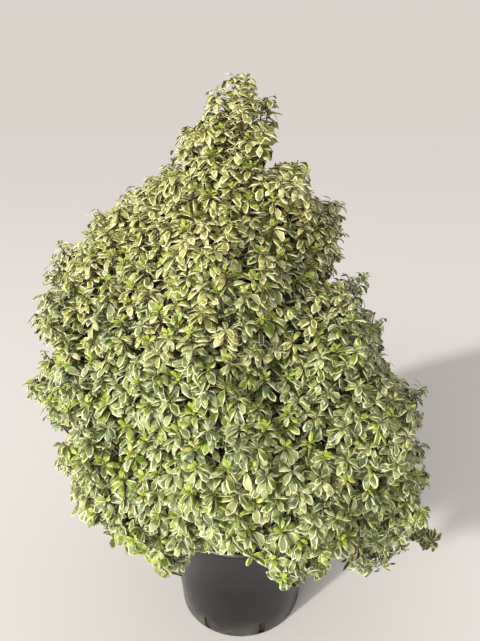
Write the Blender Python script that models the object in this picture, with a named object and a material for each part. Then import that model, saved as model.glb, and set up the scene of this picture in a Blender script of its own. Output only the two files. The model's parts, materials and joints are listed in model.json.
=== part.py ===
"""Potted pittosporum: a broad, pyramidal evergreen shrub in a black nursery pot.

Metres, +Z up. The origin is the middle of the pot's flat underside, and the front of the plant faces -Y.
A tapering trunk stands on the soil inside the pot and runs up through the crown. Boughs leave it in tiers,
and each one ends where it enters a mass of foliage. A mass is one solid: a short stem, shoots that branch
from it by a seeded rule, broad leaves round the shoots' tips and a small core among them.
"""
import math
import random
from collections import namedtuple

import bmesh
import bpy
from mathutils import Matrix, Vector
from mathutils.bvhtree import BVHTree

# Pot
RIM_RADIUS = 0.200
POT_HEIGHT = 0.306
BASE_RADIUS = 0.170
WALL = 0.0035
LIP_HEIGHT = 0.014
LIP_PROUD = 0.0035
POT_BEVEL = 0.004          # where the wall meets the underside
LIP_SLOPE = 0.002
POT_SIDES = 40
SLOTS = 7
SLOT_WIDTH = 0.016
SLOT_BOTTOM = 0.006
SLOT_TOP = 0.043
SLOT_DEPTH = 0.030
FIRST_SLOT = -122.0        # degrees, seen left of the middle from the front

# Soil
SOIL_DEPTH_BELOW_RIM = 0.030
SOIL_ROUGHNESS = 0.005
SOIL_FLAT = 0.080            # level ground round the trunk's foot
SOIL_HUMPS = 0.140           # the ring between there and the wall
SOIL_GAP = 0.0011            # between the compost and the pot's wall
SOIL_SIDES = 24

# Gaps that part two solids which touch on the real plant
CLEAR = 0.0003
LEAF_CLEAR = 0.0012        # leaves and shoots keep this far off the limbs
SPACE_MARGIN = 0.0006      # and this far inside their mass's own space
WELD = 0.000002            # points closer than this are one point
SHORT = 0.00002            # edges shorter than this are closed up where the solid stays sound
LEAST_CHANGE = 1e-11       # cubic metres that a join or a cut must add or take away
MASS_TRIES = 12            # times that a mass whose pieces don't join is grown again, with other leaves
TRIES_A_SHOOT = 3          # and after each so many of them with a shoot fewer

# Each of these keeps one thing's chances apart from the others' (added to a mass's own seed)
SEED = 37
LEAF_SEEDS = 5000
CORE_SEEDS = 9000
TRY_SEEDS = 500

# Trunk
SOIL_TOP = POT_HEIGHT - SOIL_DEPTH_BELOW_RIM
TRUNK_FOOT = SOIL_TOP + CLEAR
TRUNK_TIP = 1.275
TRUNK_RADIUS = 0.0185
TRUNK_TIP_RADIUS = 0.0050
FLARE = 0.014
FLARE_HEIGHT = 0.022
TRUNK_LEAN = -0.030        # how far the leader bows to the left half way up
TRUNK_SWING = 0.010
TRUNK_WAVES = 5.0
TRUNK_TAPER = 0.9
TRUNK_SIDES = 8
TRUNK_RINGS = 14
TRUNK_RING_CROWDING = 1.35 # over 1 brings the rings closer together towards the foot

# Crown: tiers of foliage masses. Height and reach place the centres, turn is the first one's direction in
# degrees, radius is the space that a mass may fill, and fork is where the tier's boughs leave the trunk.
# Shift moves a tier's middle to the right, tilt raises its left side and lowers its right, and lift raises
# its masses over the pot's front.
Tier = namedtuple("Tier", "name count height reach turn radius fork shift tilt lift shoots leaves")
TIERS = (
    Tier("skirt", 8, 0.515, 0.350, -32.0, 0.162, 0.350, 0.016, 0.020, 0.070, 5, 5),
    Tier("lower", 7, 0.680, 0.340, 13.0, 0.170, 0.445, -0.028, 0.000, 0.005, 5, 5),
    Tier("middle", 6, 0.860, 0.268, -92.0, 0.165, 0.590, -0.068, 0.030, 0.010, 5, 5),
    Tier("upper", 4, 1.020, 0.180, 2.0, 0.152, 0.790, -0.062, 0.006, 0.000, 5, 5),
    Tier("shoulder", 4, 1.145, 0.112, 146.0, 0.112, None, -0.024, -0.012, 0.000, 4, 5),
    Tier("neck", 2, 1.242, 0.046, 190.0, 0.086, None, -0.018, 0.012, 0.000, 3, 5),
    Tier("tip", 1, 1.328, 0.000, 0.0, 0.074, None, 0.000, 0.000, 0.000, 3, 5),
)
HEIGHT_JITTER = 0.010
TURN_JITTER = 4.0
TRUNK_MASS_ROOT = 0.75     # a mass on the trunk itself leaves it this share of its radius below its centre
TIP_MASS_ROOT = 0.90       # and the topmost one this share
TIP_CUT = 0.004            # no mass leaves the trunk nearer its tip than this

# Boughs
BOUGH_SIDES = 5
BOUGH_RINGS = 4
BOUGH_ROOT_RADIUS = 0.0080
BOUGH_TIP_RADIUS = 0.0042
BOUGH_STAGGER = 0.016
BOUGH_STRAIGHT = 0.016     # the last stretch, in line with the mass's stem
BOUGH_BEND = 0.38
BOUGH_LEAST_SHARE = 0.75   # a bough's root is this share of its full radius, and thicker by its reach in metres
ROOT_DROP = 0.90           # masses are entered from below, at this share of their reach down the trunk
MASS_ROOT = 0.66           # a bough ends this share of the radius short of its mass's centre

# Shoots and leaves
SHOOT_SIDES = 3
HUB_SHORT = 0.10             # the stem ends this share of the radius short of the middle
SHOOT_RADIUS = 0.0032
SHOOT_TIP_RADIUS = 0.0020
SHOOT_REACH = (0.80, 0.92)   # shares of the mass's radius that the shoots' tips come to
SHOOT_SPREAD = math.radians(48.0)
SHOOT_CUTS = (1.0, 0.9, 0.8) # a shoot that finds no room is tried again at these shares of its length
SHOOT_RISE = 0.70            # how strongly a whorl turns upward
RAYS = 40                    # directions that a mass's shoots are chosen from
LIGHT_DROP = 0.25            # a mass faces away from the point of the trunk this far below it
LEAF_LENGTH = 0.080
LEAF_BREADTH = 0.48          # its width as a share of its length, so that five fit round a bud
LEAF_THICKNESS = 0.0026
LEAF_ARCH = 0.10             # shares of the leaf's length that its middle rises and its tip falls
LEAF_DROOP = 0.16
LEAF_SIZES = (0.88, 1.10)
LEAF_LIFT = 0.30             # the most that a leaf points along its shoot, before it seeks room
LEAF_SWERVE = 0.06           # share of the angle between two leaves that one may be off
LEAF_TRIES = 6               # a leaf that finds no room is lifted and shortened a little, this many times
LEAF_LIFT_STEP = 0.16
LEAF_SHRINK_STEP = 0.07
BUD_RADIUS = 0.0065          # the bud that a whorl's leaves grow from
BUD_HEIGHT = 0.0045
CORE_SHARE = 0.61
CORE_LUMPS = 0.24

Mass = namedtuple("Mass", "name tier number centre radius azimuth root heading bough seed")


def clear_scene():
    for old in list(bpy.data.objects):
        bpy.data.objects.remove(old)


def make_material(name, colour, roughness, metallic=0.0):
    material = bpy.data.materials.new(name)
    material.use_nodes = True
    shader = material.node_tree.nodes["Principled BSDF"]
    shader.inputs["Base Color"].default_value = (*colour, 1.0)
    shader.inputs["Roughness"].default_value = roughness
    shader.inputs["Metallic"].default_value = metallic
    return material


def add_object(name, bm, material=None):
    mesh = bpy.data.meshes.new(name)
    bm.to_mesh(mesh)
    bm.free()
    made = bpy.data.objects.new(name, mesh)
    bpy.context.collection.objects.link(made)
    if material:
        mesh.materials.append(material)
    return made


def smooth(made, angle=40.0):
    made.data.shade_smooth()
    made.data.set_sharp_from_angle(angle=math.radians(angle))


# Boolean helpers

def is_sound(mesh):
    """True where every edge has its two faces, also once points that all but coincide count as one."""
    bm = bmesh.new()
    bm.from_mesh(mesh)
    bmesh.ops.remove_doubles(bm, verts=bm.verts, dist=WELD)
    sound = len(bm.faces) > 3 and all(len(edge.link_faces) == 2 for edge in bm.edges)
    bm.free()
    return sound


def close_short_edges(mesh):
    """Closes up the mesh's shortest edges, unless that would open or pinch it."""
    bm = bmesh.new()
    bm.from_mesh(mesh)
    bmesh.ops.dissolve_degenerate(bm, edges=bm.edges, dist=SHORT)
    bmesh.ops.triangulate(bm, faces=bm.faces)
    if all(len(edge.link_faces) == 2 for edge in bm.edges) and all(vertex.is_manifold for vertex in bm.verts):
        bm.to_mesh(mesh)
    bm.free()


def crosses_itself(mesh):
    """True where two faces that share no corner meet."""
    bm = bmesh.new()
    bm.from_mesh(mesh)
    tree = BVHTree.FromBMesh(bm)
    corners = [{vertex.index for vertex in face.verts} for face in bm.faces]
    bm.free()
    return any(one < other and not corners[one] & corners[other] for one, other in tree.overlap(tree))


def volume_of(mesh):
    bm = bmesh.new()
    bm.from_mesh(mesh)
    volume = bm.calc_volume(signed=False)
    bm.free()
    return volume


def apply_boolean(target, operand, operation, solvers):
    """Joins or cuts target with an object or a whole collection, by the first solver that changes it and
    leaves it sound, and keeps that as plain mesh. True where one did."""
    for solver in solvers:
        modifier = target.modifiers.new("join", "BOOLEAN")
        modifier.operation = operation
        modifier.solver = solver
        if isinstance(operand, bpy.types.Collection):
            modifier.operand_type = "COLLECTION"
            modifier.collection = operand
        else:
            modifier.object = operand
        bpy.context.view_layer.update()
        evaluated = target.evaluated_get(bpy.context.evaluated_depsgraph_get())
        result = main_body(bpy.data.meshes.new_from_object(evaluated))
        target.modifiers.remove(modifier)
        if is_sound(result) and abs(volume_of(result) - volume_of(target.data)) > LEAST_CHANGE:
            close_short_edges(result)
            target.data = result
            return True
    print("no sound result for", target.name, operation)
    return False


def main_body(mesh):
    """The mesh without loose scraps and the shells of sealed hollows: only its largest closed body."""
    bm = bmesh.new()
    bm.from_mesh(mesh)
    unseen = set(bm.verts)
    bodies = []
    while unseen:
        waiting = [unseen.pop()]
        body = []
        while waiting:
            vertex = waiting.pop()
            body.append(vertex)
            for edge in vertex.link_edges:
                other = edge.other_vert(vertex)
                if other in unseen:
                    unseen.remove(other)
                    waiting.append(other)
        bodies.append(body)
    bodies.sort(key=len)
    for scrap in bodies[:-1]:
        bmesh.ops.delete(bm, geom=scrap, context="VERTS")
    bmesh.ops.triangulate(bm, faces=bm.faces)
    bm.to_mesh(mesh)
    bm.free()
    return mesh


# Limbs

def across(heading):
    """Two directions square to the heading and to each other."""
    first = heading.cross(Vector((0.0, 0.0, 1.0)))
    if first.length < 0.05:
        first = heading.cross(Vector((1.0, 0.0, 0.0)))
    first.normalize()
    return first, first.cross(heading).normalized()


def add_limb(bm, points, radii, sides):
    """A closed tapering limb through the points, with flat ends square to its run. Where it bends, its sides
    aren't flat, so they are split in two, and a wider copy is split the same way and clears it all along."""
    rings = []
    last = len(points) - 1
    first = None
    for index, (point, radius) in enumerate(zip(points, radii)):
        before = points[max(index - 1, 0)]
        after = points[min(index + 1, last)]
        heading = (after - before).normalized()
        if first is None:
            first, second = across(heading)
        else:
            first = (first - heading * first.dot(heading)).normalized()
            second = first.cross(heading)
        ring = []
        for side in range(sides):
            angle = 2.0 * math.pi * side / sides
            ring.append(bm.verts.new(point + (first * math.cos(angle) + second * math.sin(angle)) * radius))
        rings.append(ring)
    for lower, upper in zip(rings, rings[1:]):
        for side in range(sides):
            following = (side + 1) % sides
            if len(rings) > 2:
                bm.faces.new((lower[side], lower[following], upper[following]))
                bm.faces.new((lower[side], upper[following], upper[side]))
            else:
                bm.faces.new((lower[side], lower[following], upper[following], upper[side]))
    bm.faces.new(reversed(rings[0]))
    bm.faces.new(rings[-1])


def limb_object(name, points, radii, sides, material=None, grow=0.0):
    """A limb as an object of its own. A grown copy is wider by that much, for cutting and for clearances."""
    bm = bmesh.new()
    points = [point.copy() for point in points]
    if grow:
        points[0] -= (points[1] - points[0]).normalized() * grow
        points[-1] += (points[-1] - points[-2]).normalized() * grow
    add_limb(bm, points, [radius + grow for radius in radii], sides)
    bmesh.ops.recalc_face_normals(bm, faces=bm.faces)
    return add_object(name, bm, material)


def trunk_point(height):
    share = (height - TRUNK_FOOT) / (TRUNK_TIP - TRUNK_FOOT)
    bow = math.sin(math.pi * min(max(share, 0.0), 1.0)) ** 2
    return Vector((TRUNK_LEAN * bow, TRUNK_SWING * math.sin(TRUNK_WAVES * share) ** 2, height))


def trunk_radius(height):
    share = (height - TRUNK_FOOT) / (TRUNK_TIP - TRUNK_FOOT)
    taper = TRUNK_TIP_RADIUS + (TRUNK_RADIUS - TRUNK_TIP_RADIUS) * (1.0 - share) ** TRUNK_TAPER
    return taper + FLARE * math.exp(-(height - TRUNK_FOOT) / FLARE_HEIGHT)


def trunk_run():
    points, radii = [], []
    for ring in range(TRUNK_RINGS + 1):
        share = (ring / TRUNK_RINGS) ** TRUNK_RING_CROWDING
        height = TRUNK_FOOT + (TRUNK_TIP - TRUNK_FOOT) * share
        points.append(trunk_point(height))
        radii.append(trunk_radius(height))
    points[1].xy = points[0].xy      # the first stretch is upright, so the cut at the soil is level
    return points, radii


def bough_run(mass, fork):
    """From inside the trunk, out and up in one bend, to where the bough enters its mass, square to its stem."""
    start = trunk_point(fork)
    end = mass.root - mass.heading * CLEAR
    straight = end - mass.heading * BOUGH_STRAIGHT
    reach = (end - start).length
    bend = straight - mass.heading * reach * BOUGH_BEND
    points = []
    for ring in range(BOUGH_RINGS):
        share = ring / (BOUGH_RINGS - 1)
        points.append(start.lerp(bend, share).lerp(bend.lerp(straight, share), share))
    points.append(end)
    thick = BOUGH_ROOT_RADIUS * (BOUGH_LEAST_SHARE + reach)
    radii = [thick + (BOUGH_TIP_RADIUS - thick) * ring / BOUGH_RINGS for ring in range(BOUGH_RINGS + 1)]
    return points, radii


# Where the masses stand

def lay_out_masses():
    chance = random.Random(SEED)
    masses = []
    for tier in TIERS:
        for number in range(tier.count):
            azimuth = tier.turn + 360.0 * number / tier.count + chance.uniform(-TURN_JITTER, TURN_JITTER)
            angle = math.radians(azimuth)
            outward = Vector((math.cos(angle), math.sin(angle), 0.0))
            height = tier.height + chance.uniform(-HEIGHT_JITTER, HEIGHT_JITTER)
            height += tier.lift * max(-outward.y, 0.0) ** 3 - tier.tilt * outward.x
            centre = Vector((tier.shift, 0.0, height)) + outward * tier.reach
            name = "foliage_%s_%d" % (tier.name, number + 1)
            if tier.fork is None:
                below = height - tier.radius * (TRUNK_MASS_ROOT if tier.reach else TIP_MASS_ROOT)
                root = trunk_point(min(below, TRUNK_TIP - TIP_CUT))
                heading = (centre - root).normalized()
                bough = None
            else:
                stagger = BOUGH_STAGGER * (1.0 if number % 2 else -1.0)
                inward = trunk_point(height - ROOT_DROP * tier.reach) - centre
                root = centre + inward.normalized() * tier.radius * MASS_ROOT
                heading = (centre - root).normalized()
                bough = ("bough_%s_%d" % (tier.name, number + 1), tier.fork + stagger)
            masses.append(Mass(name, tier, number, centre, tier.radius, angle, root, heading, bough,
                               SEED * 100 + len(masses)))
    return masses


def space_planes(mass, masses):
    """The flat sides of the space that belongs to a mass: a point and an outward normal for each neighbour."""
    planes = []
    for other in masses:
        between = other.centre - mass.centre
        distance = between.length
        if other is mass or distance > mass.radius + other.radius:
            continue
        normal = between / distance
        share = (distance ** 2 + mass.radius ** 2 - other.radius ** 2) / (2.0 * distance)
        planes.append((mass.centre + normal * (share - SPACE_MARGIN), normal))
    return planes


def inside_space(points, planes):
    return all((point - corner).dot(normal) < 0.0 for point in points for corner, normal in planes)


# Shoots and leaves

def rays_all_round(count, turn):
    """Directions spread evenly over a ball, on one long spiral."""
    rays = []
    for index in range(count):
        lift = 1.0 - 2.0 * (index + 0.5) / count
        ring = math.sqrt(1.0 - lift * lift)
        angle = math.pi * (3.0 - math.sqrt(5.0)) * index + turn
        rays.append(Vector((ring * math.cos(angle), ring * math.sin(angle), lift)))
    return rays


def shoot_runs(mass, planes, count):
    """Where the shoots of one mass start and end. They go where there is room and light: out of the crown
    and away from the neighbours, each well apart from the last."""
    chance = random.Random(mass.seed)
    outward = (mass.centre - trunk_point(mass.centre.z - LIGHT_DROP)).normalized()
    ranked = []
    for ray in rays_all_round(RAYS, chance.uniform(0.0, 2.0 * math.pi)):
        bud = mass.centre + ray * mass.radius * SHOOT_REACH[0]
        room = min([(corner - bud).dot(normal) for corner, normal in planes] + [LEAF_LENGTH])
        ranked.append((room / LEAF_LENGTH + ray.dot(outward), ray))
    ranked.sort(key=lambda pair: -pair[0])
    hub = stem_run(mass)[0][-1]
    chosen, runs = [], []
    for _, ray in ranked:
        if any(ray.angle(other) < SHOOT_SPREAD for other in chosen):
            continue
        chosen.append(ray)
        start = mass.root.lerp(hub, chance.uniform(0.5, 1.0))
        runs.append((start, mass.centre + ray * mass.radius * chance.uniform(*SHOOT_REACH), ray))
        if len(runs) == count:
            break
    return runs


def leaf_corners(bud, axis, out, length):
    """The left, right, tip and keel corners of one broad leaf: it folds down across its middle, and its
    keel stands a leaf's thickness over the fold."""
    side = out.cross(axis).normalized() * length * LEAF_BREADTH * 0.5
    middle = bud + out * length * 0.48 + axis * length * LEAF_ARCH
    tip = bud + out * length - axis * length * LEAF_DROOP
    return middle + side, middle - side, tip, middle + axis * LEAF_THICKNESS


def add_whorl(bm, bud, axis, directions, leaves):
    """A whorl as one closed form: a small bud, with the leaves that found room standing out all round."""
    top = bm.verts.new(bud + axis * BUD_HEIGHT)
    foot = bm.verts.new(bud - axis * BUD_HEIGHT)
    count = len(directions)
    notches = []
    for index in range(count):
        between = (directions[index] + directions[(index + 1) % count]).normalized()
        notches.append(bm.verts.new(bud + between * BUD_RADIUS))
    for index, leaf in enumerate(leaves):
        before, after = notches[index - 1], notches[index]
        if leaf is None:
            bm.faces.new((top, before, after))
            bm.faces.new((foot, after, before))
            continue
        left, right, tip, keel = (bm.verts.new(corner) for corner in leaf)
        if (left.co - before.co).length > (right.co - before.co).length:
            left, right = right, left
        for face in ((top, before, left), (top, left, keel), (keel, left, tip), (keel, tip, right),
                     (top, keel, right), (top, right, after), (foot, left, before), (foot, right, left),
                     (left, right, tip), (foot, after, right)):
            bm.faces.new(face)


def stem_run(mass):
    """The short stem that carries a mass, from its bough's tip or the trunk to the hub of its shoots."""
    hub = mass.centre - mass.heading * mass.radius * HUB_SHORT
    return [mass.root, hub], [BOUGH_TIP_RADIUS, SHOOT_RADIUS]


def grow_core(mass, planes, limb_trees, limbs_grown, attempt):
    """The dense, lumpy middle of a mass, flat where it meets its neighbours and cut clear of the limbs. None
    where a cut fails."""
    chance = random.Random(mass.seed + CORE_SEEDS + TRY_SEEDS * attempt)
    core = bmesh.new()
    bmesh.ops.create_icosphere(core, subdivisions=2, radius=mass.radius * CORE_SHARE)
    for vertex in core.verts:
        vertex.co = vertex.co * (1.0 + chance.uniform(-CORE_LUMPS, CORE_LUMPS)) + mass.centre
    for corner, normal in planes:
        cut = bmesh.ops.bisect_plane(core, geom=core.verts[:] + core.edges[:] + core.faces[:],
                                     plane_co=corner, plane_no=normal, clear_outer=True)
        rim = [item for item in cut["geom_cut"] if isinstance(item, bmesh.types.BMEdge)]
        if rim:
            bmesh.ops.holes_fill(core, edges=rim)
    bmesh.ops.recalc_face_normals(core, faces=core.faces)
    core_tree = BVHTree.FromBMesh(core)
    touched = [grown for name, grown in limbs_grown.items()
               if name != mass.name and core_tree.overlap(limb_trees[name])]
    if touched:
        bmesh.ops.triangulate(core, faces=core.faces)
    made = add_object("core", core)
    for grown in touched:
        if not apply_boolean(made, grown, "DIFFERENCE", ("MANIFOLD", "EXACT")):
            bpy.data.objects.remove(made)
            return None
    return made


def grow_mass(mass, masses, limb_trees, trunk_grown, limbs_grown, foliage, attempt):
    """One foliage mass as one closed solid in its own space, clear of every limb. The number of its leaves,
    or none where its pieces don't join into a sound solid."""
    planes = space_planes(mass, masses)
    chance = random.Random(mass.seed + LEAF_SEEDS + TRY_SEEDS * attempt)
    pieces = bpy.data.collections.new("pieces")
    bpy.context.scene.collection.children.link(pieces)
    placed = []

    def clear_of_limbs(tree):
        return not any(tree.overlap(limb) for name, limb in limb_trees.items() if name != mass.name)

    def keep(made):
        bpy.context.collection.objects.unlink(made)
        pieces.objects.link(made)

    core = grow_core(mass, planes, limb_trees, limbs_grown, attempt)
    if core is None:
        return 0
    stem = limb_object(mass.name, *stem_run(mass), SHOOT_SIDES)
    if not mass.bough:
        apply_boolean(stem, trunk_grown, "DIFFERENCE", ("EXACT", "MANIFOLD"))
    bm = bmesh.new()
    bm.from_mesh(core.data)
    placed.append(BVHTree.FromBMesh(bm))
    bm.free()
    keep(core)

    leaves_grown = 0
    count = mass.tier.shoots - attempt // TRIES_A_SHOOT
    for start, tip, ray in shoot_runs(mass, planes, count):
        for share in SHOOT_CUTS:
            bud = mass.centre + (tip - mass.centre) * share
            shoot = bmesh.new()
            add_limb(shoot, [start, bud], [SHOOT_RADIUS, SHOOT_TIP_RADIUS], SHOOT_SIDES)
            bmesh.ops.recalc_face_normals(shoot, faces=shoot.faces)
            bmesh.ops.create_icosphere(shoot, subdivisions=1, radius=BUD_RADIUS, matrix=Matrix.Translation(bud))
            fits = inside_space([vertex.co for vertex in shoot.verts], planes)
            fits = fits and clear_of_limbs(BVHTree.FromBMesh(shoot))
            bmesh.ops.delete(shoot, geom=shoot.verts[2 * SHOOT_SIDES:], context="VERTS")
            if fits:
                break
            shoot.free()
        else:
            continue
        keep(add_object("shoot", shoot))
        axis = (ray + Vector((0.0, 0.0, SHOOT_RISE))).normalized()
        first, second = across(axis)
        turn = chance.uniform(0.0, 2.0 * math.pi)
        directions, leaves, blades = [], [], []
        for number in range(mass.tier.leaves):
            swerve = chance.uniform(-LEAF_SWERVE, LEAF_SWERVE)
            angle = turn + 2.0 * math.pi * (number + swerve) / mass.tier.leaves
            flat = first * math.cos(angle) + second * math.sin(angle)
            lift = chance.uniform(0.0, LEAF_LIFT)
            length = LEAF_LENGTH * chance.uniform(*LEAF_SIZES) * (mass.radius / TIERS[0].radius) ** 0.5
            directions.append(flat)
            for step in range(LEAF_TRIES):
                out = (flat + axis * (lift + LEAF_LIFT_STEP * step)).normalized()
                size = 1.0 - LEAF_SHRINK_STEP * step
                corners = leaf_corners(bud, axis, out, length * size)
                if not inside_space(corners, planes):
                    continue
                blade = BVHTree.FromPolygons([*corners, bud + flat * BUD_RADIUS],
                                             [(4, 0, 3), (0, 2, 3), (2, 1, 3), (1, 4, 3), (4, 1, 0), (0, 1, 2)])
                if clear_of_limbs(blade) and not any(blade.overlap(other) for other in placed + blades):
                    leaves.append(corners)
                    blades.append(blade)
                    leaves_grown += 1
                    break
            else:
                leaves.append(None)
        whorl = bmesh.new()
        add_whorl(whorl, bud, axis, directions, leaves)
        bmesh.ops.recalc_face_normals(whorl, faces=whorl.faces)
        placed.append(BVHTree.FromBMesh(whorl))
        keep(add_object("whorl", whorl))
    joined = apply_boolean(stem, pieces, "UNION", ("MANIFOLD", "EXACT")) and not crosses_itself(stem.data)
    for piece in list(pieces.objects):
        bpy.data.objects.remove(piece)
    bpy.data.collections.remove(pieces)
    if not joined:
        bpy.data.objects.remove(stem)
        return 0
    stem.data.materials.clear()
    stem.data.materials.append(foliage)
    return leaves_grown


# Pot and soil

def wall_radius(height):
    return BASE_RADIUS + (RIM_RADIUS - LIP_PROUD - BASE_RADIUS) * height / POT_HEIGHT


def spin_profile(profile, steps):
    bm = bmesh.new()
    corners = [bm.verts.new((radius, 0.0, height)) for radius, height in profile]
    edges = [bm.edges.new(pair) for pair in zip(corners, corners[1:])]
    bmesh.ops.spin(bm, geom=corners + edges, cent=(0.0, 0.0, 0.0), axis=(0.0, 0.0, 1.0),
                   angle=2.0 * math.pi, steps=steps, use_merge=True)
    bmesh.ops.remove_doubles(bm, verts=bm.verts, dist=0.00001)
    bmesh.ops.recalc_face_normals(bm, faces=bm.faces)
    return bm


def make_pot(plastic):
    """A tapered nursery pot: thin wall, turned-out lip, flat underside and drainage slots round its foot."""
    lip_foot = POT_HEIGHT - LIP_HEIGHT
    profile = (
        (0.0, 0.0),
        (BASE_RADIUS - POT_BEVEL, 0.0),
        (BASE_RADIUS, POT_BEVEL),
        (wall_radius(lip_foot), lip_foot),
        (RIM_RADIUS, lip_foot + LIP_SLOPE),
        (RIM_RADIUS, POT_HEIGHT),
        (RIM_RADIUS - LIP_PROUD - WALL, POT_HEIGHT),
        (BASE_RADIUS - WALL, WALL),
        (0.0, WALL),
    )
    pot = add_object("pot", spin_profile(profile, POT_SIDES), plastic)
    cutters = bpy.data.collections.new("slots")
    bpy.context.scene.collection.children.link(cutters)
    for slot in range(SLOTS):
        angle = math.radians(FIRST_SLOT + 360.0 * slot / SLOTS)
        bm = bmesh.new()
        bmesh.ops.create_cube(bm, size=1.0)
        bmesh.ops.scale(bm, vec=(SLOT_DEPTH, SLOT_WIDTH, SLOT_TOP - SLOT_BOTTOM), verts=bm.verts)
        cutter = add_object("slot", bm)
        bpy.context.collection.objects.unlink(cutter)
        cutters.objects.link(cutter)
        cutter.location = (BASE_RADIUS * math.cos(angle), BASE_RADIUS * math.sin(angle),
                           (SLOT_TOP + SLOT_BOTTOM) * 0.5)
        cutter.rotation_euler = (0.0, 0.0, angle)
    apply_boolean(pot, cutters, "DIFFERENCE", ("EXACT",))
    for cutter in list(cutters.objects):
        bpy.data.objects.remove(cutter)
    bpy.data.collections.remove(cutters)
    smooth(pot)


def make_soil(earth):
    """The compost that fills the pot: flat under the trunk, uneven towards the wall."""
    chance = random.Random(SEED + 1)
    foot = WALL + CLEAR
    profile = (
        (0.0, foot),
        (BASE_RADIUS - WALL - SOIL_GAP, foot),
        (wall_radius(SOIL_TOP) - WALL - SOIL_GAP, SOIL_TOP),
        (SOIL_HUMPS, SOIL_TOP),
        (SOIL_FLAT, SOIL_TOP),
        (0.0, SOIL_TOP),
    )
    bm = spin_profile(profile, SOIL_SIDES)
    for vertex in bm.verts:
        radius = math.hypot(vertex.co.x, vertex.co.y)
        if vertex.co.z > foot * 2.0 and radius > (SOIL_FLAT + SOIL_HUMPS) * 0.5:
            vertex.co.z += chance.uniform(-SOIL_ROUGHNESS, SOIL_ROUGHNESS)
    smooth(add_object("soil", bm, earth), 60.0)


def main():
    clear_scene()
    plastic = make_material("pot_plastic", (0.045, 0.047, 0.052), 0.55)
    earth = make_material("compost", (0.075, 0.038, 0.024), 0.95)
    bark = make_material("bark", (0.085, 0.052, 0.040), 0.85)
    foliage = make_material("foliage", (0.26, 0.33, 0.13), 0.55)
    make_pot(plastic)
    make_soil(earth)

    points, radii = trunk_run()
    smooth(limb_object("trunk", points, radii, TRUNK_SIDES, bark))
    trunk_grown = limb_object("trunk_clear", points, radii, TRUNK_SIDES, grow=CLEAR)
    masses = lay_out_masses()
    limb_runs = {"trunk": (points, radii, TRUNK_SIDES)}
    for mass in masses:
        if mass.bough:
            name, fork = mass.bough
            limb_runs[name] = (*bough_run(mass, fork), BOUGH_SIDES)
            bough = limb_object(name, *limb_runs[name], bark)
            apply_boolean(bough, trunk_grown, "DIFFERENCE", ("EXACT", "MANIFOLD"))
            smooth(bough)
        limb_runs[mass.name] = (*stem_run(mass), SHOOT_SIDES)

    limb_trees, limbs_grown = {}, {}
    for name, (points, radii, sides) in limb_runs.items():
        wide = limb_object("wide", points, radii, sides, grow=LEAF_CLEAR)
        bm = bmesh.new()
        bm.from_mesh(wide.data)
        limb_trees[name] = BVHTree.FromBMesh(bm)
        bm.free()
        limbs_grown[name] = wide
    leaves = 0
    for mass in masses:
        for attempt in range(MASS_TRIES):
            grown = grow_mass(mass, masses, limb_trees, trunk_grown, limbs_grown, foliage, attempt)
            if grown:
                leaves += grown
                break
            print("grown again:", mass.name)
    for guide in [*limbs_grown.values(), trunk_grown]:
        bpy.data.objects.remove(guide)
    print("leaves:", leaves, "masses:", len(masses))


main()
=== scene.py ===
import json
import math
import random

import bmesh
import bpy
import numpy as np
from mathutils import Matrix, Vector, noise

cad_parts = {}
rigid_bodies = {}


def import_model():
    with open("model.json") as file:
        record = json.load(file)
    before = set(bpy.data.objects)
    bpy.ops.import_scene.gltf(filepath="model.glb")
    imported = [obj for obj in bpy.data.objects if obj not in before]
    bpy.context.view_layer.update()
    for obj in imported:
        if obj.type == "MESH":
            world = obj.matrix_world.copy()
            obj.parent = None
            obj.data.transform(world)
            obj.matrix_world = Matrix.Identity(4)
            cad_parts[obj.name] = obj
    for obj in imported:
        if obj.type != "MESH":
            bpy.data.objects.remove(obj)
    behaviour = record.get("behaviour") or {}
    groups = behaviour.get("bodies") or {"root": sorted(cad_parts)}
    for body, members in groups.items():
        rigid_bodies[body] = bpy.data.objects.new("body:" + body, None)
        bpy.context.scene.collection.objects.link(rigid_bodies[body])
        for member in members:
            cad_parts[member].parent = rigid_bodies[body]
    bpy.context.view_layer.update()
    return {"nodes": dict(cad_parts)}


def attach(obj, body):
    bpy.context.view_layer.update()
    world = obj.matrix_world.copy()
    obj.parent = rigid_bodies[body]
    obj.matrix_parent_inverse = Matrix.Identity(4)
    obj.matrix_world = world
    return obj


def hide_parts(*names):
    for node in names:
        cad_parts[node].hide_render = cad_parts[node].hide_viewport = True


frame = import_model()
up = Vector((0.0, 0.0, 1.0))
print("frame loaded:", len(frame["nodes"]), "nodes")


# Small helpers

def meshOf(name, bm):
    mesh = bpy.data.meshes.new(name)
    bm.to_mesh(mesh)
    bm.free()
    return mesh


def newPiece(name, bm, *more):
    return finishPiece(name, meshOf(name, bm), *more)


def finishPiece(name, mesh, materials, nodes=(), slot=None, smoothAngle=None):
    for material in materials:
        mesh.materials.append(material)
    made = bpy.data.objects.new(name, mesh)
    bpy.context.collection.objects.link(made)
    if smoothAngle is not None:
        mesh.shade_smooth()
        mesh.set_sharp_from_angle(angle=math.radians(smoothAngle))
    if slot:
        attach(made, "root")
        if nodes:
            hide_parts(*nodes)
    return made


def rgba(colour):
    return (*colour, 1.0)


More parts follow.
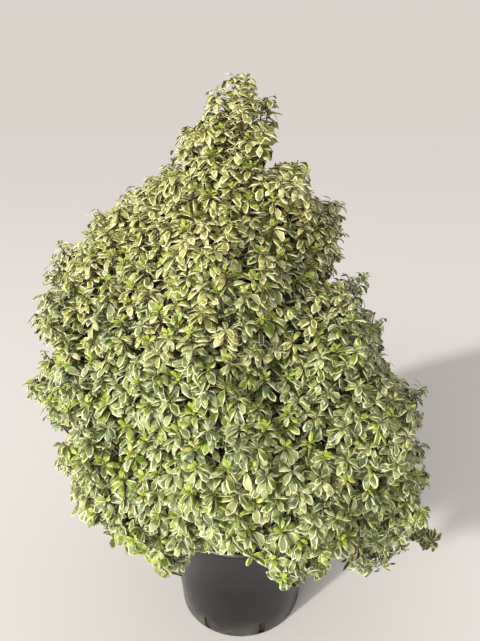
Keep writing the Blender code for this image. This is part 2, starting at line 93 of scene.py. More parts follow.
class Wire:
    # one socket of a node tree, so that shader maths reads as plain expressions
    def __init__(self, tree, socket=None):
        self.tree = tree
        self.socket = socket

    def node(self, kind, settings=None, inputs=None, output=0):
        made = self.tree.nodes.new(kind)
        for key, value in (settings or {}).items():
            setattr(made, key, value)
        for key, value in (inputs or {}).items():
            if isinstance(value, Wire):
                value.into(made.inputs[key])
            else:
                made.inputs[key].default_value = value
        return Wire(self.tree, made.outputs[output])

    def into(self, socket):
        self.tree.links.new(self.socket, socket)

    def place(self):
        return self.node("ShaderNodeTexCoord", None, None, 3)

    def height(self):
        return self.node("ShaderNodeSeparateXYZ", None, {0: self.place()}, 2)

    def maths(self, operation, first, second):
        return self.node("ShaderNodeMath", {"operation": operation}, {0: first, 1: second})

    def __add__(self, other):
        return self.maths("ADD", self, other)

    def __radd__(self, other):
        return self.maths("ADD", other, self)

    def __sub__(self, other):
        return self.maths("SUBTRACT", self, other)

    def __rsub__(self, other):
        return self.maths("SUBTRACT", other, self)

    def __mul__(self, other):
        return self.maths("MULTIPLY", self, other)

    def __rmul__(self, other):
        return self.maths("MULTIPLY", other, self)

    def clamped(self):
        return self.node("ShaderNodeClamp", None, {"Value": self})

    def fade(self, low, high):
        return self.node("ShaderNodeMapRange", {"interpolation_type": "SMOOTHSTEP"},
                         {"Value": self, "From Min": low, "From Max": high})

    def speckle(self, place, scale, detail=4.0, roughness=0.55):
        return self.node("ShaderNodeTexNoise", None,
                         {"Vector": place, "Scale": scale, "Detail": detail, "Roughness": roughness})

    def blend(self, mask, first, second):
        return self.node("ShaderNodeMix", {"data_type": "RGBA"}, {0: mask, 6: first, 7: second}, 2)

    def bump(self, height, strength, distance):
        return self.node("ShaderNodeBump", None,
                         {"Height": height, "Strength": strength, "Distance": distance})


def newMaterial(name, colour, roughness, specular=0.5):
    material = bpy.data.materials.new(name)
    material.use_nodes = True
    shader = material.node_tree.nodes["Principled BSDF"]
    shader.inputs["Base Color"].default_value = rgba(colour)
    shader.inputs["Roughness"].default_value = roughness
    shader.inputs["Specular IOR Level"].default_value = specular
    return material, shader, Wire(material.node_tree)


def dress(shader, colour, roughness, relief):
    colour.into(shader.inputs["Base Color"])
    roughness.into(shader.inputs["Roughness"])
    relief.into(shader.inputs["Normal"])


# Materials

def makePotPlastic():
    # the lip colour is a painted highlight: the top of the rolled lip is paler, as where it catches the light
    look = {"black": (0.0025, 0.0030, 0.0038), "worn": (0.0070, 0.0078, 0.0090), "roughness": 0.22,
            "dust": (0.120, 0.118, 0.105), "dustTo": 0.075, "lip": (0.110, 0.112, 0.115),
            "lipHighlightHeights": (0.2975, 0.3045), "wearScale": 7.0, "streakScale": 34.0, "dustScale": 22.0,
            "streakStretch": (1.0, 1.0, 9.0), "grainScale": 420.0, "relief": 0.0005}
    material, shader, wire = newMaterial("potPlastic", look["black"], look["roughness"])
    place, height = wire.place(), wire.height()
    turned = wire.node("ShaderNodeMapping", None, {"Vector": place, "Scale": look["streakStretch"]})
    wear = wire.speckle(place, look["wearScale"], 5.0).fade(0.40, 0.68)
    streaks = wire.speckle(turned, look["streakScale"], 3.0).fade(0.45, 0.75)
    foot = 1.0 - height.fade(0.0, look["dustTo"])
    dust = (foot * wire.speckle(place, look["dustScale"], 6.0, 0.65).fade(0.35, 0.75) * 0.55).clamped()
    grey = wire.blend(wear * 0.6 + streaks * 0.4, rgba(look["black"]), rgba(look["worn"]))
    # painted highlight: the lip's top band takes the paler lip colour, patchy with the wear
    lipHighlighted = wire.blend(height.fade(*look["lipHighlightHeights"]) * (0.35 + wear * 0.5), grey, rgba(look["lip"]))
    grain = wire.speckle(place, look["grainScale"], 3.0)
    dress(shader, wire.blend(dust, lipHighlighted, rgba(look["dust"])),
          look["roughness"] + wear * 0.10 + streaks * 0.05 + dust * 0.30,
          wire.bump(grain + streaks * 0.5, 0.12, look["relief"]))
    return material


def makeCompost():
    look = {"dark": (0.030, 0.016, 0.010), "red": (0.120, 0.052, 0.028), "pale": (0.230, 0.150, 0.090),
            "roughness": 0.85, "paintedShadeHeights": (0.05, 0.26), "coarseScale": 42.0, "fineScale": 190.0,
            "crumbScale": 150.0, "relief": 0.003}
    material, shader, wire = newMaterial("barkCompost", look["dark"], look["roughness"])
    place, height = wire.place(), wire.height()
    coarse = wire.speckle(place, look["coarseScale"], 5.0, 0.6)
    fine = wire.speckle(place, look["fineScale"], 4.0, 0.6)
    crumbs = wire.node("ShaderNodeTexVoronoi", None, {"Vector": place, "Scale": look["crumbScale"]}, 1)
    shade = wire.node("ShaderNodeRGBToBW", None, {0: crumbs})
    paintedShadeFade = height.fade(*look["paintedShadeHeights"]) * 0.85 + 0.15    # painted shade: the compost is darker lower down, deep inside the pot where the slots show it
    red = wire.blend(coarse.fade(0.38, 0.62) * paintedShadeFade, rgba(look["dark"]), rgba(look["red"]))
    dress(shader, wire.blend(fine.fade(0.60, 0.74) * paintedShadeFade, red, rgba(look["pale"])),
          look["roughness"] + shade * 0.12, wire.bump(fine + shade * 0.5, 0.9, look["relief"]))
    return material


def makeBark(name, dark, light, roughness, scale, relief):
    look = {"stretch": (1.0, 1.0, 0.35), "freckleFiner": 3.2, "freckleLighter": 1.7}
    material, shader, wire = newMaterial(name, dark, roughness)
    place = wire.place()
    grain = wire.node("ShaderNodeMapping", None, {"Vector": place, "Scale": look["stretch"]})
    fissures = wire.speckle(grain, scale, 6.0, 0.6)
    freckles = wire.speckle(place, scale * look["freckleFiner"], 2.0).fade(0.62, 0.70)
    mixed = wire.blend(fissures.fade(0.36, 0.64), rgba(dark), rgba(light))
    spotted = wire.blend(freckles * 0.55, mixed, rgba([part * look["freckleLighter"] for part in light]))
    dress(shader, spotted, roughness + fissures * 0.12, wire.bump(fissures, 0.7, relief))
    return material


potPlastic = makePotPlastic()
compost = makeCompost()
trunkBark = makeBark("trunkBark", (0.040, 0.026, 0.020), (0.150, 0.105, 0.078), 0.80, 90.0, 0.0018)
twigBark = makeBark("twigBark", (0.030, 0.016, 0.014), (0.085, 0.045, 0.034), 0.62, 160.0, 0.0004)
youngBark = makeBark("youngBark", (0.105, 0.045, 0.024), (0.190, 0.090, 0.040), 0.50, 220.0, 0.0002)

# Leaf colours, dealt out whorl by whorl: the green middle, the paler green that marbles it, the cream edge,
# and how often the three come
leafColours = (
    ("deep", (0.067, 0.098, 0.014), (0.176, 0.215, 0.066), (0.488, 0.480, 0.282), 6),
    ("blue", (0.060, 0.102, 0.036), (0.165, 0.211, 0.097), (0.488, 0.494, 0.325), 3),
    ("grey", (0.116, 0.155, 0.049), (0.263, 0.300, 0.127), (0.518, 0.506, 0.322), 6),
    ("fresh", (0.104, 0.160, 0.015), (0.238, 0.298, 0.057), (0.495, 0.502, 0.252), 3),
    ("pale", (0.170, 0.212, 0.072), (0.340, 0.374, 0.160), (0.545, 0.528, 0.338), 3),
)
topColours = (
    ("olive", (0.142, 0.160, 0.024), (0.310, 0.322, 0.098), (0.610, 0.572, 0.340), 4),
    ("brass", (0.200, 0.200, 0.040), (0.385, 0.376, 0.134), (0.625, 0.586, 0.360), 2),
    ("sage", (0.200, 0.225, 0.070), (0.400, 0.410, 0.178), (0.635, 0.606, 0.400), 3),
    ("fern", (0.102, 0.138, 0.014), (0.240, 0.275, 0.064), (0.590, 0.566, 0.325), 4),
)
youngColours = (
    ("lime", (0.205, 0.290, 0.026), (0.270, 0.350, 0.045), (0.390, 0.450, 0.100), 4),
    ("gold", (0.300, 0.335, 0.055), (0.370, 0.390, 0.085), (0.470, 0.470, 0.150), 1),
)
darkest = 10    # how many shares of the first leaf colours the low leaves take
leafRoughness = {"leaf_": 0.38, "leafMarbled_": 0.40, "leafEdge_": 0.44}
leafSpecular = 0.35
leafMaterials = []


def newPalettes(colours):
    palettes = []
    for name, *parts, often in colours:
        first = len(leafMaterials)
        for (part, roughness), colour in zip(leafRoughness.items(), parts):
            leafMaterials.append(newMaterial(part + name, colour, roughness, leafSpecular)[0])
        palettes += [(first, first + 1, first + 2)] * often
    return palettes


leafPalettes, topPalettes, youngPalettes = map(newPalettes, (leafColours, topColours, youngColours))
darkPalettes = leafPalettes[:darkest]
print("materials made:", len(leafMaterials), "leaf colours")


# Crown layout, as in the part's source

seed = 37
goldenAngle = math.pi * (3.0 - math.sqrt(5.0))
soilTop = 0.276
clear = 0.0003
trunk = {"foot": soilTop + clear, "tip": 1.275, "radius": 0.0185, "tipRadius": 0.0050, "flare": 0.014,
         "flareHeight": 0.022, "lean": -0.030, "swing": 0.010, "waves": 5.0, "taper": 0.9}
tierKeys = ("name", "count", "height", "reach", "turn", "radius", "fork", "shift", "tilt", "lift", "shoots",
            "fine", "rise", "whorls")
tiers = [dict(zip(tierKeys, row)) for row in (
    ("skirt", 8, 0.515, 0.350, -32.0, 0.162, 0.350, 0.016, 0.020, 0.070, 5, 56, 1.15, 5),
    ("lower", 7, 0.680, 0.340, 13.0, 0.170, 0.445, -0.028, 0.000, 0.005, 5, 57, 2.00, 5),
    ("middle", 6, 0.860, 0.268, -92.0, 0.165, 0.590, -0.068, 0.030, 0.010, 5, 52, 3.00, 5),
    ("upper", 4, 1.020, 0.180, 2.0, 0.152, 0.790, -0.062, 0.006, 0.000, 5, 46, 3.80, 6),
    ("shoulder", 4, 1.145, 0.112, 146.0, 0.112, None, -0.024, -0.012, 0.000, 4, 26, 4.50, 6),
    ("neck", 2, 1.242, 0.046, 190.0, 0.086, None, -0.018, 0.012, 0.000, 3, 7, 5.00, 6),
    ("tip", 1, 1.328, 0.000, 0.0, 0.074, None, 0.000, 0.000, 0.000, 3, 3, 6.00, 6),
)]
crown = {"heightJitter": 0.010, "turnJitter": 4.0, "trunkMassRoot": 0.75, "tipMassRoot": 0.90,
         "massRoot": 0.66, "tipCut": 0.004, "boughStagger": 0.016, "rootDrop": 0.90, "margin": 0.0006,
         "hubShort": 0.10, "lightDrop": 0.25, "rays": 40, "leafRoom": 0.080, "reach": (0.80, 0.92),
         "spread": math.radians(48.0), "shootStart": (0.5, 1.0)}


def trunkPoint(height):
    share = (height - trunk["foot"]) / (trunk["tip"] - trunk["foot"])
    bow = math.sin(math.pi * min(max(share, 0.0), 1.0)) ** 2
    return Vector((trunk["lean"] * bow, trunk["swing"] * math.sin(trunk["waves"] * share) ** 2, height))


def trunkRadius(height):
    share = (height - trunk["foot"]) / (trunk["tip"] - trunk["foot"])
    taper = (trunk["radius"] - trunk["tipRadius"]) * max(1.0 - share, 0.0) ** trunk["taper"]
    flare = trunk["flare"] * math.exp(-(height - trunk["foot"]) / trunk["flareHeight"])
    return trunk["tipRadius"] + taper + flare


def outwardFrom(place):
    # away from the trunk and a little up, as the light comes
    return (place - trunkPoint(place.z - crown["lightDrop"])).normalized()


def layOutMasses():
    chance = random.Random(seed)
    masses = []
    for tier in tiers:
        for number in range(tier["count"]):
            azimuth = tier["turn"] + 360.0 * number / tier["count"]
            azimuth = math.radians(azimuth + chance.uniform(-crown["turnJitter"], crown["turnJitter"]))
            outward = Vector((math.cos(azimuth), math.sin(azimuth), 0.0))
            height = tier["height"] + chance.uniform(-crown["heightJitter"], crown["heightJitter"])
            height += tier["lift"] * max(-outward.y, 0.0) ** 3 - tier["tilt"] * outward.x
            centre = Vector((tier["shift"], 0.0, height)) + outward * tier["reach"]
            mass = {"name": "foliage_%s_%d" % (tier["name"], number + 1), "number": number + 1, "tier": tier,
                    "centre": centre, "radius": tier["radius"], "seed": seed * 100 + len(masses),
                    "outward": outward, "bough": None, "shoots": [], "leaves": []}
            if tier["fork"] is None:
                below = height - tier["radius"] * crown["trunkMassRoot" if tier["reach"] else "tipMassRoot"]
                mass["root"] = trunkPoint(min(below, trunk["tip"] - crown["tipCut"]))
            else:
                stagger = crown["boughStagger"] * (1.0 if number % 2 else -1.0)
                inward = trunkPoint(height - crown["rootDrop"] * tier["reach"]) - centre
                mass["root"] = centre + inward.normalized() * tier["radius"] * crown["massRoot"]
                mass["bough"] = "bough_%s_%d" % (tier["name"], number + 1)
                mass["fork"] = tier["fork"] + stagger
            mass["heading"] = (centre - mass["root"]).normalized()
            mass["hub"] = centre - mass["heading"] * tier["radius"] * crown["hubShort"]
            masses.append(mass)
    return masses


def spacePlanes(mass):
    planes = []
    for other in masses:
        between = other["centre"] - mass["centre"]
        distance = between.length
        if other is mass or distance > mass["radius"] + other["radius"]:
            continue
        normal = between / distance
        share = (distance ** 2 + mass["radius"] ** 2 - other["radius"] ** 2) / (2.0 * distance)
        planes.append((mass["centre"] + normal * (share - crown["margin"]), normal))
    return planes


def raysAllRound(count, turn):
    rays = []
    for index in range(count):
        lift = 1.0 - 2.0 * (index + 0.5) / count
        ring = math.sqrt(1.0 - lift * lift)
        angle = goldenAngle * index + turn
        rays.append(Vector((ring * math.cos(angle), ring * math.sin(angle), lift)))
    return rays


def shootRuns(mass, planes):
    # the few main shoots that the part's solids have too
    chance = random.Random(mass["seed"])
    outward = outwardFrom(mass["centre"])
    ranked = []
    for ray in raysAllRound(crown["rays"], chance.uniform(0.0, 2.0 * math.pi)):
        bud = mass["centre"] + ray * mass["radius"] * crown["reach"][0]
        room = min([(corner - bud).dot(normal) for corner, normal in planes] + [crown["leafRoom"]])
        ranked.append((room / crown["leafRoom"] + ray.dot(outward), ray))
    ranked.sort(key=lambda pair: -pair[0])
    chosen, runs = [], []
    for score, ray in ranked:
        if any(ray.angle(other) < crown["spread"] for other in chosen):
            continue
        chosen.append(ray)
        start = mass["root"].lerp(mass["hub"], chance.uniform(*crown["shootStart"]))
        runs.append((start, mass["centre"] + ray * mass["radius"] * chance.uniform(*crown["reach"]), ray))
        if len(runs) == mass["tier"]["shoots"]:
            break
    return runs


masses = layOutMasses()
print("masses laid out:", len(masses))


# Shoots: the main ones go on to fine leafy ones, which leave them low, swing out and turn up to the light

shoot = {"reach": (0.62, 0.895), "inner": 0.50, "shorter": 0.08, "rise": (0.50, 1.25), "bend": 0.62,
         "shade": -0.55, "jitter": 0.22, "past": 0.015, "near": 0.8, "joint": (0.35, 0.75),
         "seen": (0.8, 0.9, 1.0), "rings": 6, "sides": 4, "baseRadius": 0.0024, "tipRadius": 0.0013,
         "mainRadius": 0.0034, "youngShare": 0.25}


def bend(start, middle, end, share):
    return start.lerp(middle, share).lerp(middle.lerp(end, share), share)


def addShoot(mass, base, tip, axis, **more):
    # it leaves its limb low, swings out and turns up along its axis
    mass["shoots"].append(dict(run=(base, tip - axis * (tip - base).length * shoot["bend"], tip), **more))


def risingAxis(ray, mass, chance):
    return (ray + up * mass["tier"]["rise"] * chance.uniform(*shoot["rise"])).normalized()


def growShoots(mass):
    chance = random.Random(mass["seed"] + 17)
    planes = spacePlanes(mass)
    outward = outwardFrom(mass["centre"])
    mains = [(mass["root"], mass["hub"], mass["heading"])] + shootRuns(mass, planes)
    for start, end, ray in mains[1:]:
        addShoot(mass, start, end, risingAxis(ray, mass, chance), thick="mainRadius")
    for ray in raysAllRound(mass["tier"]["fine"], chance.uniform(0.0, 2.0 * math.pi)):
        ray = (ray + Vector([chance.uniform(-1.0, 1.0) for part in range(3)]) * shoot["jitter"]).normalized()
        if ray.dot(outward) < shoot["shade"]:
            continue
        reach = chance.uniform(*shoot["reach"])
        while reach > shoot["inner"]:
            tip = mass["centre"] + ray * mass["radius"] * reach
            if all((tip - corner).dot(normal) < shoot["past"] for corner, normal in planes):
                nearest = min(mains, key=lambda main: (main[0].lerp(main[1], shoot["near"]) - tip).length)
                base = nearest[0].lerp(nearest[1], chance.uniform(*shoot["joint"]))
                addShoot(mass, base, tip, risingAxis(ray, mass, chance))
                break
            reach -= shoot["shorter"]


# Shoots for the valleys between masses: places under their blended surface that have no tip near them. Each
# layer says how deep, how far apart, and what its shoots are like.
fill = {"from": 0.36, "to": 1.22, "step": 0.02, "turns": 150, "reach": 0.62, "stride": 0.008, "blend": 0.045,
        "dips": (0.0, 0.65, -0.45), "dipBack": 0.22, "joint": (0.3, 0.9),
        "layers": ((0.041, 0.0330, {"whorls": 4}), (0.095, 0.050, {"shaded": True, "whorls": 3}))}


def nearestMass(tip):
    return min(masses, key=lambda mass: (mass["centre"] - tip).length - mass["radius"])


def surfacePlaces(depth):
    centres = np.array([mass["centre"] for mass in masses])
    radii = np.array([mass["radius"] for mass in masses])
    outs = np.arange(0.0, fill["reach"], fill["stride"])
    places = []
    for level in range(round((fill["to"] - fill["from"]) / fill["step"])):
        middle = np.array(trunkPoint(fill["from"] + level * fill["step"]))
        for turn in range(fill["turns"]):
            angle = 2.0 * math.pi * (turn + 0.5 * (level % 2)) / fill["turns"]
            dip = fill["dips"][turn % 3]
            ray = np.array([math.cos(angle) * math.cos(dip), math.sin(angle) * math.cos(dip), math.sin(dip)])
            line = middle - np.array([0.0, 0.0, fill["dipBack"] * math.sin(dip)]) + outs[:, None] * ray
            far = np.linalg.norm(line[:, None, :] - centres[None, :, :], axis=2) - radii
            within = -fill["blend"] * np.log(np.exp(-far / fill["blend"]).sum(axis=1)) < -depth
            if within.any():
                places.append(line[np.nonzero(within)[0][-1]])
    return places


def fillValleys():
    chance = random.Random(seed + 53)
    taken = np.array([grown["run"][2] for mass in masses for grown in mass["shoots"]])
    for depth, apart, more in fill["layers"]:
        places = surfacePlaces(depth)
        chance.shuffle(places)
        for place in places:
            if np.linalg.norm(taken - place, axis=1).min() < apart:
                continue
            taken = np.vstack((taken, place))
            tip = Vector(place)
            home = nearestMass(tip)
            base = home["root"].lerp(home["hub"], chance.uniform(*fill["joint"]))
            addShoot(home, base, tip, risingAxis(outwardFrom(tip), home, chance), **more)
        print("shoots with those that fill valleys:", len(taken))


# The photograph's camera, found from the pot's ellipses and straight sides. The picture's middle and the
# focal length are in pixels, as the leaders and openings below are.
view = {"place": (-0.002, -1.265, 1.31), "pitch": 19.95, "middle": (240.0, 320.5), "focal": 545.0,
        "lens": 30.6, "sensor": 36.0, "clip": (0.02, 100.0)}

# Single shoots that stand out of the crown: how far across and down each tip shows, and its depth in metres
leaders = {
    "spire": ((240, 79, 0.00), (212, 93, -0.02), (267, 103, 0.02), (274, 100, 0.02), (210, 101, -0.02),
              (229, 99, 0.05), (253, 99, -0.04), (200, 119, 0.00), (183, 134, 0.01), (191, 137, -0.05),
              (263, 128, -0.04), (241, 110, -0.07), (220, 128, -0.08), (250, 140, -0.11), (207, 154, -0.10),
              (236, 154, -0.13), (222, 118, 0.06), (250, 120, 0.08)),
    "side": ((294, 172, 0.00), (304, 186, 0.03), (331, 209, 0.06), (320, 202, 0.00), (333, 232, 0.05),
             (355, 279, -0.02), (363, 294, 0.00), (381, 309, 0.05), (374, 333, 0.00), (399, 378, -0.03),
             (416, 396, 0.00), (421, 411, -0.05), (422, 449, -0.08), (424, 488, -0.10), (425, 389, 0.00),
             (369, 276, 0.03), (336, 203, 0.03), (66, 250, 0.00), (56, 262, 0.02), (55, 246, 0.00),
             (50, 262, 0.00), (48, 274, 0.00), (35, 318, -0.04), (38, 368, -0.06), (27, 383, -0.06),
             (341, 205, 0.05), (30, 381, -0.06), (43, 389, -0.10), (52, 399, -0.09), (420, 523, -0.12),
             (144, 191, 0.00), (126, 204, 0.03), (100, 222, 0.00), (90, 232, 0.02), (75, 252, 0.00),
             (62, 266, 0.00), (53, 288, -0.03), (45, 308, -0.03), (40, 326, -0.04), (48, 366, -0.06),
             (33, 387, -0.06), (48, 398, -0.08), (64, 458, -0.12), (82, 491, -0.14), (88, 514, -0.16)),
    "low": ((354, 561, -0.36), (418, 547, -0.24), (437, 541, -0.14), (374, 571, -0.33), (386, 567, -0.30),
            (363, 567, -0.35), (424, 538, -0.22), (272, 584, -0.36), (293, 585, -0.36), (166, 573, -0.36),
            (120, 538, -0.30), (364, 552, -0.38), (391, 558, -0.31), (408, 550, -0.27), (399, 540, -0.32),
            (381, 545, -0.36), (345, 549, -0.40), (316, 563, -0.36), (328, 558, -0.34), (284, 580, -0.36),
            (280, 572, -0.38), (297, 552, -0.40), (190, 548, -0.40), (206, 540, -0.42), (224, 541, -0.43),
            (172, 560, -0.36), (160, 552, -0.36), (240, 538, -0.43), (262, 540, -0.42), (130, 534, -0.30),
            (108, 522, -0.26), (432, 536, -0.10), (272, 545, -0.42)),
}
leader = {"rise": {"spire": 5.0, "side": 2.0, "low": 0.25}, "inset": 0.012, "spireLength": 0.20, "joint": 0.7,
          "whorls": 8}

# Notches and gaps at the crown's edge, at the trunk's depth: how far across and down, and the radius
openings = (
    (262, 83, 7), (193, 113, 6), (306, 144, 8), (165, 146, 7), (284, 148, 11), (299, 153, 5),
    (150, 158, 12), (272, 158, 7), (157, 161, 5), (268, 165, 5), (315, 171, 5), (139, 174, 5),
    (118, 181, 8), (317, 183, 7), (113, 190, 6), (98, 196, 11), (111, 199, 6), (87, 212, 5), (77, 232, 5),
    (354, 240, 14), (343, 259, 6), (334, 275, 6), (380, 310, 6), (397, 330, 16), (42, 342, 6),
    (18, 345, 22), (53, 346, 5), (393, 352, 7), (80, 357, 6), (399, 366, 7), (403, 371, 6), (32, 399, 6),
    (420, 404, 4), (72, 428, 6), (40, 430, 16), (55, 433, 9), (62, 440, 5), (46, 450, 13), (427, 452, 5),
    (92, 460, 4), (422, 462, 5), (45, 465, 8), (172, 465, 4), (442, 468, 12), (66, 478, 6), (58, 480, 10),
    (430, 490, 8), (64, 492, 6), (75, 494, 5), (429, 500, 6), (98, 524, 5), (402, 528, 5), (100, 534, 9),
    (107, 534, 6), (408, 540, 5), (259, 546, 6), (117, 549, 7), (249, 551, 5), (267, 551, 5),
    (100, 552, 16), (237, 553, 6), (213, 554, 6), (336, 556, 5), (140, 558, 6), (130, 559, 9),
    (332, 560, 5), (343, 560, 7), (243, 562, 9), (262, 562, 6), (349, 565, 4), (146, 570, 9),
    (255, 570, 12), (265, 572, 6), (268, 580, 5), (163, 582, 6), (303, 588, 8), (313, 588, 11),
)


def photoPlace(across, down, depth):
    # the place that shows at a pixel and lies at a depth, and how far along the view it is
    tilt = math.radians(view["pitch"])
    sideways = (across - view["middle"][0]) / view["focal"]
    rise = (view["middle"][1] - down) / view["focal"]
    ray = (sideways, math.cos(tilt) + rise * math.sin(tilt), rise * math.cos(tilt) - math.sin(tilt))
    far = (depth - view["place"][1]) / ray[1]
    return [round(start + part * far, 3) for start, part in zip(view["place"], ray)], far


def openingDisc(across, down, radius):
    (x, y, z), far = photoPlace(across, down, 0.0)
    return x, z, round(radius / view["focal"] * far, 3)


openingDiscs = [openingDisc(*opening) for opening in openings]


def inOpening(place):
    eye = Vector(view["place"])
    onPlane = eye + (place - eye) * eye.y / (eye.y - place.y)
    return any(math.hypot(onPlane.x - x, onPlane.z - z) < radius for x, z, radius in openingDiscs)


def addLeaders():
    for kind, tips in leaders.items():
        for seen in tips:
            tip = Vector(photoPlace(*seen)[0])
            tip -= Vector((tip.x, tip.y, 0.0)).normalized() * leader["inset"]
            near = nearestMass(tip)
            if kind == "spire":
                base = trunkPoint(tip.z - leader["spireLength"])
            else:
                base = near["root"].lerp(near["hub"], leader["joint"])
            axis = ((tip - base).normalized() + up * leader["rise"][kind]).normalized()
            addShoot(near, base, tip, axis, whorls=leader["whorls"])


# One leaf's form in its own space, 1 long: x along from its stalk, y across, z up. Rows give how far along
# and half the width, and the green middle takes a share of it. The blade bends over by an angle.
facing = {"rows": ((0.27, 0.108), (0.58, 0.190), (0.86, 0.118)), "green": (0.62, 0.96), "greenMost": 0.96,
          "greenSkew": 0.45, "greenTip": (0.78, 0.16), "marbled": 0.60, "bend": (1.10, 2.10),
          "steps": 12, "roll": 2.2, "rollShare": (0.2, 1.3), "widen": (0.88, 1.30), "wave": 0.045,
          "twist": 0.70, "forms": 20}
leafForms = {
    "young": dict(facing, rows=((0.34, 0.150), (0.74, 0.190)), bend=(0.6, 1.6), green=(0.65, 0.85), forms=8),
    "upright": dict(facing, rows=((0.27, 0.086), (0.58, 0.152), (0.87, 0.102)), bend=(1.6, 2.7),
                    green=(0.72, 0.96), twist=0.40, forms=16),
    "facing": facing,
    "deep": dict(facing, rows=((0.42, 0.175), (0.82, 0.150)), bend=(1.3, 2.2), forms=10),
    "old": dict(facing, rows=((0.60, 0.195),), bend=(1.3, 2.1), forms=6),
}


def makeLeafForm(form, chance):
    bendOver = chance.uniform(*form["bend"])
    twist = form["twist"] * chance.uniform(-1.0, 1.0)
    roll = form["roll"] * chance.uniform(*form["rollShare"])
    widen = chance.uniform(*form["widen"])
    green = chance.uniform(*form["green"])

    def corner(along, across, wave=0.0):
        # the middle line bends steadily, so it runs on a curve of equal steps
        steps = form["steps"]
        x = z = 0.0
        for step in range(steps):
            angle = bendOver * along * (step + 0.5) / steps
            x += math.cos(angle) * along / steps
            z -= math.sin(angle) * along / steps
        angle, turn = bendOver * along, twist * along
        down = roll * across * across - wave - across * math.sin(turn)
        return (x - math.sin(angle) * down, across * math.cos(turn) * widen, z - math.cos(angle) * down)

    corners = [corner(0.0, 0.0)]
    for along, half in form["rows"]:
        wave = [form["wave"] * chance.uniform(-1.0, 1.0) for side in range(2)]
        skew = [1.0 + form["greenSkew"] * chance.uniform(-1.0, 1.0) for side in range(2)]
        left, right = [min(half * green * share, half * form["greenMost"]) for share in skew]
        corners += [corner(along, half, wave[0]), corner(along, left), corner(along, -right),
                    corner(along, -half, wave[1])]
    tipFrom, tipMore = form["greenTip"]
    corners += [corner(tipFrom + tipMore * green, 0.0), corner(1.0, 0.0)]
    faces, parts = [], []

    def addFace(face, strip):
        # parts are 0 green, 1 marbled, 2 cream; a middle face may be marbled, or a half of it
        if strip != 1:
            faces.append(face)
            parts.append(2)
        elif len(face) == 4 and chance.random() < form["marbled"]:
            flip = chance.randrange(2)
            face = face[flip:] + face[:flip]
            faces.extend(((face[0], face[1], face[2]), (face[0], face[2], face[3])))
            parts.extend(chance.choice(((0, 1), (1, 0))))
        else:
            faces.append(face)
            parts.append(1 if chance.random() < form["marbled"] * 0.5 else 0)

    rows = len(form["rows"])
    for strip in range(3):
        addFace((0, 2 + strip, 1 + strip), strip)
    for row in range(rows - 1):
        for strip in range(3):
            low, high = 1 + row * 4 + strip, 5 + row * 4 + strip
            addFace((low, low + 1, high + 1, high), strip)
    last = 1 + (rows - 1) * 4
    greenTip, tip = len(corners) - 2, len(corners) - 1
    addFace((last, last + 1, greenTip, tip), 0)
    addFace((last + 1, last + 2, greenTip), 1)
    addFace((last + 2, last + 3, tip, greenTip), 2)
    return np.array(corners), faces, np.array(parts)


formChance = random.Random(seed + 5)
allForms, formGroups = [], {}
for group, form in leafForms.items():
    formGroups[group] = (len(allForms), form["forms"])
    allForms += [makeLeafForm(form, formChance) for number in range(form["forms"])]

# Whorls of leaves: those of upright shoots are slim and arch over, the others face outwards
whorl = {"upright": 0.83, "uprightLeaves": (6, 8), "facingLeaves": (6, 7), "uprightLonger": 1.15,
         "facingLonger": 1.10, "uprightRoll": 0.50, "roll": 0.75, "length": (0.027, 0.037), "young": 0.42,
         "tipLength": (0.022, 0.032), "youngLength": (0.012, 0.019), "fan": 2.4, "swerve": 0.80, "lift": 0.80,
         "tipLift": 0.95, "sag": 0.09, "leastLift": 0.10, "liftJitter": 0.30, "droop": (0.0, 0.45),
         "light": 0.12, "depth": 0.011, "stalk": 0.0012, "seen": 0.7, "turn": 0.62, "spacing": (0.015, 0.020),
         "tipSpacing": 0.55, "probe": 0.02, "bare": 0.16, "topFrom": 0.84, "topFade": 0.30, "lowTo": 0.60,
         "lowFade": 0.28}


def across(heading, before=None):
    # two directions square to a heading, the first carried on from the ring before where there is one
    if before is not None:
        first = (before - heading * before.dot(heading)).normalized()
        return first, first.cross(heading)
    first = heading.cross(up)
    if first.length < 0.05:
        first = heading.cross(Vector((1.0, 0.0, 0.0)))
    first.normalize()
    return first, first.cross(heading).normalized()


def addWhorl(leaves, bud, axis, turn, age, chance, shaded):
    # age 0 is the young tip, 1 and over the grown whorls below it
    first, second = across(axis)
    young = age == 0 and not shaded and chance.random() < whorl["young"]
    upright = axis.z > whorl["upright"]
    stance = "upright" if upright else "facing"
    count = chance.randint(*whorl[stance + "Leaves"])
    share = chance.random()    # brassy leaves near the top and dark ones low down fade into the rest
    top = share < (bud.z - whorl["topFrom"]) / whorl["topFade"]
    low = share < (whorl["lowTo"] - bud.z) / whorl["lowFade"]
    grown = topPalettes if top else darkPalettes if low else leafPalettes
    palettes = chance.choices(youngPalettes if young else grown, k=2)
    kind = "old" if shaded or age > 2 else "deep" if age > 1 else "young" if young else stance
    firstForm, forms = formGroups[kind]
    lengths = whorl["youngLength" if young else "length" if age else "tipLength"]
    longer = 1.0 if young else whorl[stance + "Longer"]
    for number in range(count):
        angle = turn + whorl["fan"] * number + chance.uniform(-0.5, 0.5) * whorl["swerve"]
        place = bud + axis * (number / count - 0.5) * whorl["depth"]
        flat = first * math.cos(angle) + second * math.sin(angle)
        lift = max(whorl["lift"] - whorl["sag"] * (age - 1), whorl["leastLift"]) if age else whorl["tipLift"]
        lift += chance.uniform(-1.0, 1.0) * whorl["liftJitter"]
        droop = 0.0 if upright else chance.uniform(*whorl["droop"])
        roll = whorl["uprightRoll" if upright else "roll"]
        out = (flat * math.cos(lift) + axis * math.sin(lift) - up * droop).normalized()
        normal = (axis * math.cos(lift) - flat * math.sin(lift) + up * whorl["light"]).normalized()
        side = normal.cross(out).normalized()
        side = (side + normal * chance.uniform(-1.0, 1.0) * roll).normalized()
        normal = out.cross(side).normalized()
        length = chance.uniform(*lengths) * longer
        if inOpening(place + out * length * whorl["seen"]):
            continue
        leaves.append((firstForm + chance.randrange(forms), chance.choice(palettes), length,
                       place + out * whorl["stalk"], (out, side, normal)))


